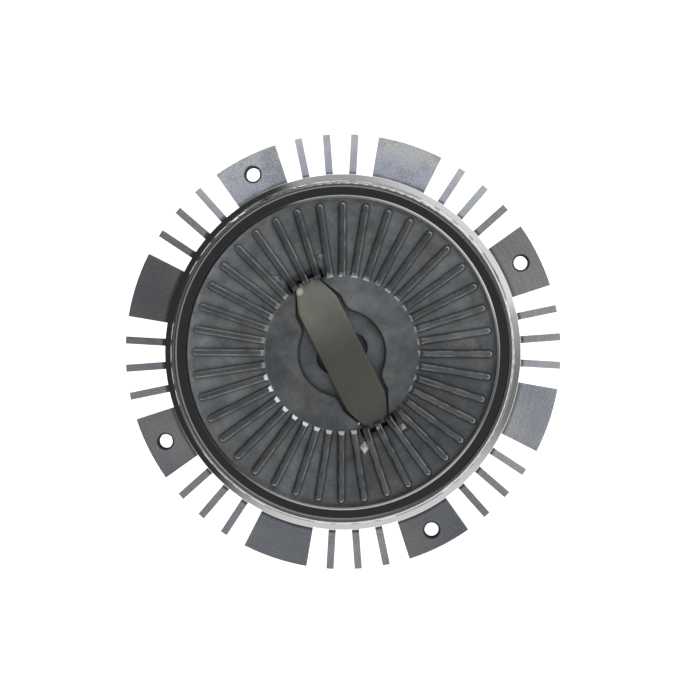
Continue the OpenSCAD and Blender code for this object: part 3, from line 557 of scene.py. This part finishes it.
class CLUTCH_OT_cover(Operator):
    """Give the cover a mottled cast floor with painted light and shade, painted shade along its ribs, round its pocket
    and at the strip's ends, painted highlights on the rib noses, and worn bright rib edges
    """

    bl_idname = "clutch.cover"
    bl_label = "Finish Cover"

    def rib_edges(self, skin, shape, across, rise):
        """Masks of the painted shade along the ribs' feet and on their tops, and of their worn edges."""
        half = shape.rib_width / 2
        away = skin.hypotenuse(across, skin.beyond(skin.r, shape.rib_end))
        foot_shade = skin.product(
            skin.step(away, half + 0.8 * MM, half - 0.3 * MM),
            skin.step(away, 1.0 * MM, 1.4 * MM),
            skin.step(skin.r, shape.rib_start - 0.6 * MM, shape.rib_start + 0.4 * MM),
        )
        top_shade = skin.product(skin.step(rise, 1.9 * MM, 2.15 * MM), skin.step(away, 1.0 * MM, 0.7 * MM))
        end = skin.step(skin.r, shape.rib_end - 0.6 * MM, shape.rib_end + 0.4 * MM)
        patchy = skin.product(skin.step(skin.noise(160.0, 2.0), 0.42, 0.6), 0.5)
        worn = skin.product(
            skin.step(away, 0.7 * MM, 0.9 * MM),
            skin.step(rise, 1.3 * MM, 1.7 * MM),
            skin.math("MAXIMUM", end, patchy),
        )
        return foot_shade, top_shade, worn

    def channel_brim(self, skin, shape, wide, far):
        """1 along the edge of the pocket and of the channel, which narrows towards the ribs: the band where shade is
        painted.
        """
        channel = skin.math("SUBTRACT", wide, shape.channel_half)
        channel = skin.math("MULTIPLY_ADD", skin.beyond(far, shape.corner_start), shape.corner_slope, channel)
        pocket = skin.math("SUBTRACT", skin.r, shape.pocket_radius)
        brim_shade = skin.math("SMOOTH_MIN", pocket, channel, 3.0 * MM)
        return skin.step(skin.math("ABSOLUTE", brim_shade), 0.65 * MM, 0.3 * MM)

    def bright_noses(self, skin, shape, across, rise, beyond_end_shade):
        """Masks of the painted highlights: mirror-bright ones on the rib noses and a dot by the strip's end, and matt
        bright lines at the noses' feet and along the disc's edge.
        """
        start = shape.rib_start
        nose_highlight = skin.product(
            skin.step(across, 1.4 * MM, 1.2 * MM),
            skin.step(skin.r, start + 1.8 * MM, start + 1.2 * MM),
            beyond_end_shade,
            skin.invert(skin.side(126, 30, 44)),
        )
        line_highlight = skin.product(nose_highlight, skin.step(rise, 0.05 * MM, 0.2 * MM), skin.step(rise, 1.0 * MM, 0.7 * MM))
        edge_highlight = skin.product(
            skin.step(across, 1.45 * MM, 1.2 * MM),
            skin.step(skin.r, start - 0.8 * MM, start - 0.55 * MM),
            skin.step(skin.r, start + 0.3 * MM, start),
            beyond_end_shade,
            skin.side(11, 60, 76),
            skin.step(skin.noise(420.0, 2.0), 0.36, 0.52),
        )
        lower_left_highlight = skin.product(nose_highlight, skin.side(215, 40, 56), skin.step(rise, 0.4 * MM, 0.8 * MM))
        spot_highlight = skin.step(skin.distance(BRIGHT_SPOT), 1.5 * MM, 0.9 * MM)
        return skin.math("MAXIMUM", lower_left_highlight, spot_highlight), skin.math("MAXIMUM", line_highlight, edge_highlight)

    def execute(self, context):
        shape = context.scene.clutch_shape
        finish = context.scene.clutch_finish
        skin = Surface("cast_cover", finish.cover, finish.cast_roughness)
        skin.place()
        wide, far = (skin.math("ABSOLUTE", way) for way in (skin.x, skin.y))
        across = skin.product(skin.nearest(shape.rib_count), skin.r, 2 * pi / shape.rib_count)
        out = skin.beyond(skin.r, shape.rib_start)
        rise = skin.math("SUBTRACT", skin.z, skin.change(out, -shape.floor_slope, shape.face_height))
        centre = skin.step(skin.r, shape.rib_start, shape.rib_start - 0.6 * MM)
        foot_shade, top_shade, worn = self.rib_edges(skin, shape, across, rise)
        brim_shade = skin.product(self.channel_brim(skin, shape, wide, far), centre)
        ahead = skin.math("SUBTRACT", far, shape.strip_stop)
        # Painted shade round the strip's ends, where no nose highlight is painted.
        end_shade = skin.step(skin.hypotenuse(skin.beyond(wide, 5.0 * MM), ahead), 5.2 * MM, 2.6 * MM)
        nose_highlight, line_highlight = self.bright_noses(skin, shape, across, rise, skin.invert(end_shade))

        grain = skin.noise(700.0)
        stains = skin.noise(70.0, 3.0)
        tone = skin.product(skin.spread(skin.noise(110.0, 4.0), 0.66, 1.26), skin.spread(grain, 0.9, 1.1))
        for heading, inner, outer, share in COVER_PAINTED_LIGHT:
            patch = skin.beyond(skin.side(heading, inner, outer), centre)
            tone = skin.product(tone, skin.change(patch, share))
        lit = skin.change(skin.side(34.38, 30, 80), 0.24, 0.8)
        tone = skin.mix(centre, tone, skin.product(tone, lit))
        metal = skin.mix_colour(skin.step(stains, 0.47, 0.64), finish.cover, finish.cover_stain)
        metal = skin.shade(metal, tone)
        # Painted shade on the rib tops, weaker towards the lower right.
        top_shade = skin.product(top_shade, skin.change(skin.side(293, 35, 75), -0.6, 0.62))
        # Painted shade: the ribs' feet and tops, the pocket's edge and the strip's ends darkened towards near black.
        for mask, share in ((foot_shade, 0.65), (top_shade, 1.0), (brim_shade, 0.85), (end_shade, 0.85)):
            metal = skin.mix_colour(skin.product(mask, share), metal, finish.painted_shade)
        metal = skin.mix_colour(worn, metal, finish.worn_edge_and_highlight)

        roughness = skin.mix(centre, skin.spread(grain, 0.36, 0.5), skin.spread(stains, 0.36, 0.46))
        roughness = skin.mix(worn, roughness, 0.25)
        metallic = skin.mix(skin.math("MAXIMUM", nose_highlight, worn), 0.4, 1.0)
        skin.use(
            # Painted highlights: the rib noses bright and mirror-like, the lines at their feet bright and matt.
            base_color=skin.mix_colour(skin.math("MAXIMUM", nose_highlight, line_highlight), metal, finish.worn_edge_and_highlight),
            roughness=skin.mix(nose_highlight, roughness, finish.nose_roughness),
            metallic=skin.math("SUBTRACT", metallic, skin.product(line_highlight, 0.4)),
        )
        skin.bump(skin.mix(centre, grain, skin.product(grain, 0.3)), 0.06 * MM, shape.cover_edge)
        skin.paint("front_cover")
        return {"FINISHED"}


class CLUTCH_OT_corners(Operator):
    """Model the corners of the channel, which close in on the strip's tapered ends"""

    bl_idname = "clutch.corners"
    bl_label = "Model Channel Corners"

    def execute(self, context):
        shape = context.scene.clutch_shape
        side = shape.channel_half - 0.02 * MM
        reach = shape.rib_start - 0.05 * MM
        plan = [Vector((side, shape.corner_start, 0.0)), Vector((side, sqrt(reach**2 - side**2), 0.0))]
        for x in (8.6 * MM, 7.1 * MM, shape.corner_end):
            plan.append(Vector((x, sqrt(reach**2 - x**2), 0.0)))
        bpy.ops.object.select_all(action="DESELECT")
        bpy.ops.mesh.primitive_circle_add(vertices=len(plan), radius=1.0, fill_type="NGON")
        corners = context.object
        corners.name = "channel_corners"
        starts = [vertex.co.copy() for vertex in corners.data.vertices]
        for start, target in zip(starts, plan):
            select_vertices(corners, lambda co: (co - start).length < 1e-6)
            target = target + Vector((0.0, 0.0, shape.face_height))
            bpy.ops.transform.translate(value=target - start)
            bpy.ops.object.mode_set(mode="OBJECT")
        bpy.ops.object.mode_set(mode="EDIT")
        bpy.ops.mesh.select_all(action="SELECT")
        bpy.ops.mesh.extrude_region_move(TRANSFORM_OT_translate={"value": (0.0, 0.0, -shape.pocket_depth)})
        bpy.ops.object.mode_set(mode="OBJECT")
        apply_modifier(corners, "Both Ends", "MIRROR", use_axis=(True, True, False), use_mirror_merge=False)
        close_shell(corners)
        corners.data.materials.append(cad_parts["front_cover"].data.materials[0])
        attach(corners, "housing")
        return {"FINISHED"}


class CLUTCH_OT_strip(Operator):
    """Model the bowed bimetal strip in two halves"""

    bl_idname = "clutch.strip"
    bl_label = "Model Bimetal Strip"

    def half_width(self, shape, along, half_width, half_length):
        """Half the strip's width at a distance along it from the middle."""
        half_full = shape.strip_full / 2
        half_end = shape.strip_end / 2
        run = half_length - half_full
        side = half_width - (half_width - half_end) * (along - half_full) / run
        side = (side + half_width - sqrt((side - half_width) ** 2 + shape.strip_blunt**2)) / 2
        corner = shape.strip_corner
        lean = (half_width - half_end) / sqrt(run**2 + (half_width - half_end) ** 2)
        rise = along - (half_length - corner)
        if rise <= corner * lean:
            return side
        middle = half_end - corner * (1 - lean) / sqrt(1 - lean**2)
        return min(side, middle + sqrt(max(corner**2 - rise**2, 0.0)))

    def execute(self, context):
        shape = context.scene.clutch_shape
        finish = context.scene.clutch_finish
        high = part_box("bimetal_strip")[1]
        half_x, half_y = high[0], high[1]
        bow_radius = half_y**2 / (2 * shape.strip_bow) + shape.strip_bow / 2

        bpy.ops.object.select_all(action="DESELECT")
        bpy.ops.mesh.primitive_grid_add(x_subdivisions=10, y_subdivisions=shape.strip_rows, size=2.0)
        strip = context.object
        strip.name = "strip_front_half"
        rows = sorted({round(vertex.co.y, 6) for vertex in strip.data.vertices})
        for row in rows:
            select_vertices(strip, lambda co: abs(co.y - row) < 1e-5)
            along = half_y * sin(row * pi / 2)
            width = self.half_width(shape, abs(along), half_x, half_y)
            drop = bow_radius - sqrt(bow_radius**2 - along**2)
            bpy.ops.transform.resize(value=(width, 1.0, 1.0), center_override=(0.0, row, 0.0))
            bpy.ops.transform.translate(value=(0.0, along - row, high[2] - drop))
            bpy.ops.object.mode_set(mode="OBJECT")
        apply_modifier(strip, "Sheet", "SOLIDIFY", thickness=shape.strip_thickness, offset=-1.0)
        apply_modifier(
            strip, "Worn Edges", "BEVEL", width=shape.strip_edge, segments=3, limit_method="ANGLE",
            angle_limit=radians(40),
        )
        select_vertices(strip, lambda co: co.y < 1e-6)
        bpy.ops.mesh.separate(type="SELECTED")
        bpy.ops.object.mode_set(mode="OBJECT")
        rear = next(obj for obj in context.selected_objects if obj is not strip)
        rear.name = "strip_rear_half"
        for half in (strip, rear):
            close_shell(half)
            select_only(half)
            bpy.ops.object.shade_smooth_by_angle(angle=radians(35))

        skin = Surface("bimetal", finish.bimetal, 0.5, 0.75)
        cloud = skin.noise(60.0, 3.0)
        grain = skin.noise(1500.0)
        # Painted light: the strip's half towards +Y paler, where the light falls on it.
        painted_light = skin.change(skin.step(skin.y, -2.0 * MM, 28.0 * MM), 1.2, 0.92)
        shade = skin.product(skin.spread(cloud, 0.84, 1.12), painted_light)
        blue = skin.product(skin.spread(cloud, 0.9, 1.08), painted_light)
        metal = skin.shade(finish.bimetal, shade, blue)
        # Painted highlight: a cream patch on a corner of the strip's end.
        corner_highlight = skin.step(skin.distance((*HIGHLIGHT_CORNER, high[2])), 2.4 * MM, 0.9 * MM)
        skin.use(
            base_color=skin.mix_colour(corner_highlight, metal, finish.scuff),
            roughness=skin.spread(grain, 0.44, 0.58),
            metallic=skin.mix(corner_highlight, 0.75, 0.1),
        )
        skin.bump(grain, 0.03 * MM)
        for half, end in ((strip, half_y), (rear, -half_y)):
            half.data.materials.append(skin.material)
            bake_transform(half)
            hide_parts("bimetal_strip")
        return {"FINISHED"}


class CLUTCH_OT_stakes(Operator):
    """Model the crushed punch marks that hold the strip's ends"""

    bl_idname = "clutch.stakes"
    bl_label = "Model Punch Marks"

    def burr(self, shape, seed, heading, radius, length, width, height, twist):
        """Adds one lump of crushed metal on the cover's sloping floor."""
        away = Vector((cos(heading), sin(heading), 0.0))
        drop = max(radius - shape.rib_start, 0.0) * shape.floor_slope
        place = away * radius + Vector((0.0, 0.0, shape.face_height - drop))
        bpy.ops.object.select_all(action="DESELECT")
        bpy.ops.mesh.primitive_uv_sphere_add(segments=4, ring_count=2, radius=1.0)
        lump = bpy.context.object
        bpy.ops.object.mode_set(mode="EDIT")
        bpy.ops.mesh.select_all(action="SELECT")
        bpy.ops.mesh.subdivide(number_cuts=5)
        bpy.ops.transform.resize(value=(length / 2, width / 2, height), center_override=(0.0, 0.0, 0.0))
        bpy.ops.transform.vertex_random(offset=0.12 * MM, seed=seed)
        bpy.ops.mesh.vertices_smooth(factor=0.3)
        bpy.ops.transform.rotate(value=-twist, orient_axis="Z", center_override=(0.0, 0.0, 0.0))
        bpy.ops.transform.rotate(value=-atan(shape.floor_slope), orient_axis="Y", center_override=(0.0, 0.0, 0.0))
        bpy.ops.transform.rotate(value=-heading, orient_axis="Z", center_override=(0.0, 0.0, 0.0))
        bpy.ops.transform.translate(value=place)
        bpy.ops.object.mode_set(mode="OBJECT")
        bpy.ops.object.shade_smooth()
        return lump

    def execute(self, context):
        shape = context.scene.clutch_shape
        finish = context.scene.clutch_finish
        bright = Surface("crushed_metal", finish.crushed, 0.5)
        dull = Surface("dull_crushed_metal", finish.dull_crushed, 0.5)
        for skin in (bright, dull):
            skin.bump(skin.noise(1800.0, 4.0), 0.12 * MM)
        # Name, finish, heading, distance from the axis, length, width, height and twist.
        marks = (
            ("punch_mark_lower", bright, -103.2, 39.6 * MM, 6.8 * MM, 5.2 * MM, 0.8 * MM, -13.5),
            ("punch_mark_right", dull, -77.2, 38.9 * MM, 4.4 * MM, 4.2 * MM, 0.7 * MM, 40.0),
            ("punch_mark_left", dull, 105.0, 40.4 * MM, 5.2 * MM, 3.6 * MM, 0.6 * MM, 10.0),
            ("punch_mark_upper", dull, 76.1, 40.4 * MM, 3.6 * MM, 3.8 * MM, 0.4 * MM, 0.0),
            ("burr_lower_left", bright, -103.3, 29.6 * MM, 1.3 * MM, 1.5 * MM, 0.6 * MM, 30.0),
            ("burr_upper", dull, 91.0, 34.6 * MM, 2.9 * MM, 1.0 * MM, 1.6 * MM, 0.0),
        )
        for seed, (name, skin, heading, *size, twist) in enumerate(marks):
            mark = self.burr(shape, seed, radians(heading), *size, radians(twist))
            mark.name = name
            mark.data.materials.append(skin.material)
            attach(mark, "housing")
        return {"FINISHED"}


class CLUTCH_OT_drive(Operator):
    """Finish the drive shaft and model the thread in its bore"""

    bl_idname = "clutch.drive"
    bl_label = "Finish Drive Shaft"

    def execute(self, context):
        shape = context.scene.clutch_shape
        finish = context.scene.clutch_finish
        skin = Surface("plain_steel", finish.steel, 0.3)
        streaks = skin.turning(2200.0)
        skin.use(roughness=skin.spread(streaks, 0.22, 0.4))
        skin.bump(streaks, 0.02 * MM, shape.shaft_edge)
        skin.paint("drive_shaft")

        thread = model_thread(
            "shaft_thread", shape.thread_core, shape.thread_height, shape.thread_pitch, shape.thread_turns,
            shape.thread_bottom,
        )
        thread.data.materials.append(skin.material)
        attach(thread, "drive")
        return {"FINISHED"}


class CLUTCH_OT_bearing(Operator):
    """Finish the bearing, its seals and the parts inside the clutch"""

    bl_idname = "clutch.bearing"
    bl_label = "Finish Inner Parts"

    def execute(self, context):
        finish = context.scene.clutch_finish
        ground = Surface("bearing_steel", finish.steel, 0.18)
        ground.use(roughness=ground.spread(ground.turning(3000.0), 0.12, 0.26))
        ground.paint("bearing_inner_ring", "bearing_outer_ring", "bearing_balls", "control_pin")
        spring = Surface("spring_steel", finish.spring, 0.35)
        spring.use(roughness=spring.spread(spring.noise(400.0), 0.28, 0.45))
        spring.paint("bearing_circlip", "valve_lever", "lever_rivet", "pump_block_rivets")
        rotor = Surface("rotor_aluminium", finish.aluminium, 0.35)
        rotor.use(roughness=rotor.spread(rotor.turning(2600.0), 0.28, 0.42))
        rotor.paint("primary_disc", "intermediate_disc", "pump_block")
        rubber = Surface("seal_rubber", finish.rubber, 0.55, 0.0)
        rubber.use(roughness=rubber.spread(rubber.noise(800.0), 0.48, 0.64))
        rubber.paint("cover_seal", "pin_seal", "bearing_front_seal", "bearing_rear_seal")
        cage = Surface("cage_plastic", finish.plastic, 0.45, 0.0)
        cage.use(roughness=cage.spread(cage.noise(600.0), 0.38, 0.5))
        cage.paint("bearing_cage")
        return {"FINISHED"}


class CLUTCH_OT_stage(Operator):
    """Set up the white floor, the light of the room and the camera"""

    bl_idname = "clutch.stage"
    bl_label = "Set Up Studio"

    def room(self, scene, stage):
        """Surrounds the clutch by bright low walls under a dark ceiling. The camera sees plain white."""
        world = bpy.data.worlds.new("studio_room")
        scene.world = world
        world.use_nodes = True
        nodes = Nodes(world.node_tree)
        way = nodes.node("ShaderNodeTexCoord", {}, "Generated")
        height = nodes.vector("DOT_PRODUCT", way, (0.0, 0.0, 1.0), output="Value")

        def wall(heading, inner, outer):
            """1 within inner degrees of a heading in the picture in degrees, 0 beyond outer degrees."""
            return nodes.facing(way, radians(heading) - stage.turn, inner, outer)

        walls = nodes.product(wall(62, 44, 52), stage.wall_glow)
        walls = nodes.math("MULTIPLY_ADD", wall(40, 5, 50), stage.window_glow, walls)
        walls = nodes.math("MULTIPLY_ADD", wall(280, 24, 58), stage.front_glow, walls)
        walls = nodes.math("MULTIPLY_ADD", wall(350, 10, 45), stage.side_glow, walls)
        walls = nodes.product(walls, nodes.step(height, 0.5, 0.25))
        upper = nodes.product(nodes.step(height, 0.97, 0.8), nodes.step(height, 0.2, 0.55))
        upper = nodes.product(upper, nodes.invert(wall(165, 25, 65)))
        around = nodes.change(upper, stage.room_glow, stage.ceiling_glow)
        room = world.node_tree.nodes["Background"]
        room.inputs["Color"].default_value = (0.96, 0.98, 1.0, 1.0)
        world.node_tree.links.new(nodes.math("ADD", around, walls), room.inputs["Strength"])
        backdrop = nodes.node("ShaderNodeBackground", {"Color": (1.0, 1.0, 1.0, 1.0), "Strength": 1.0})
        seen = nodes.node("ShaderNodeLightPath", {}, "Is Camera Ray")
        choose = nodes.node("ShaderNodeMixShader", {0: seen, 1: room.outputs[0], 2: backdrop})
        world.node_tree.links.new(choose, world.node_tree.nodes["World Output"].inputs["Surface"])

    def execute(self, context):
        stage = context.scene.clutch_stage
        scene = context.scene
        right = Vector((cos(-stage.turn), sin(-stage.turn), 0.0))
        up = Vector((-right.y, right.x, 0.0))

        bpy.ops.object.select_all(action="DESELECT")
        bpy.ops.mesh.primitive_circle_add(
            vertices=96, radius=stage.floor_radius, fill_type="NGON", location=(0.0, 0.0, -stage.floor_drop)
        )
        floor = context.object
        floor.name = "studio_floor"
        white = Surface("studio_white", (0.9, 0.9, 0.9), 0.6, 0.0)
        white.shader.inputs["Emission Color"].default_value = (1.0, 1.0, 1.0, 1.0)
        white.shader.inputs["Emission Strength"].default_value = stage.floor_glow
        floor.data.materials.append(white.material)

        self.room(scene, stage)

        heading = stage.lean_heading
        sideways = right * cos(heading) + up * sin(heading)
        away = sideways * sin(stage.lean) + Vector((0.0, 0.0, cos(stage.lean)))
        aim = Vector((0.0, 0.0, stage.aim_height)) + right * stage.offset[0] + up * stage.offset[1]
        bpy.ops.object.camera_add(location=aim + away * stage.distance)
        camera = context.object
        camera.name = "photo_camera"
        across = up.cross(away).normalized()
        axes = Matrix((across, away.cross(across), away)).transposed()
        camera.rotation_euler = axes.to_euler()
        camera.data.lens = stage.lens
        camera.data.clip_start = 0.01
        camera.data.dof.use_dof = False
        scene.camera = camera
        scene.view_settings.view_transform = "Standard"
        return {"FINISHED"}


class CLUTCH_PT_panel(Panel):
    """Lists the steps and sizes of the fan clutch"""

    bl_idname = "CLUTCH_PT_panel"
    bl_label = "Fan Clutch"
    bl_space_type = "VIEW_3D"
    bl_region_type = "UI"
    bl_category = "Fan Clutch"

    def draw(self, context):
        layout = self.layout
        for step in STEPS:
            layout.operator(step.bl_idname)
        for group in ("clutch_shape", "clutch_finish", "clutch_stage"):
            settings = getattr(context.scene, group)
            box = layout.box()
            for key in settings.__annotations__:
                box.prop(settings, key)


GROUPS = {"clutch_shape": ClutchShape, "clutch_finish": ClutchFinish, "clutch_stage": ClutchStage}
STEPS = (
    CLUTCH_OT_body, CLUTCH_OT_bolt_threads, CLUTCH_OT_cover, CLUTCH_OT_corners, CLUTCH_OT_strip, CLUTCH_OT_stakes,
    CLUTCH_OT_drive, CLUTCH_OT_bearing, CLUTCH_OT_stage,
)


def register():
    """Makes the settings, steps and panel known to Blender."""
    for name, group in GROUPS.items():
        bpy.utils.register_class(group)
        setattr(bpy.types.Scene, name, PointerProperty(type=group))
    for step in STEPS:
        bpy.utils.register_class(step)
    bpy.utils.register_class(CLUTCH_PT_panel)


def unregister():
    """Takes them away again."""
    bpy.utils.unregister_class(CLUTCH_PT_panel)
    for step in reversed(STEPS):
        bpy.utils.unregister_class(step)
    for name, group in GROUPS.items():
        delattr(bpy.types.Scene, name)
        bpy.utils.unregister_class(group)


def main():
    """Runs every step."""
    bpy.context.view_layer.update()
    register()
    bpy.ops.clutch.body()
    bpy.ops.clutch.bolt_threads()
    bpy.ops.clutch.cover()
    bpy.ops.clutch.corners()
    bpy.ops.clutch.strip()
    bpy.ops.clutch.stakes()
    bpy.ops.clutch.drive()
    bpy.ops.clutch.bearing()
    bpy.ops.clutch.stage()


if __name__ == "__main__":
    main()
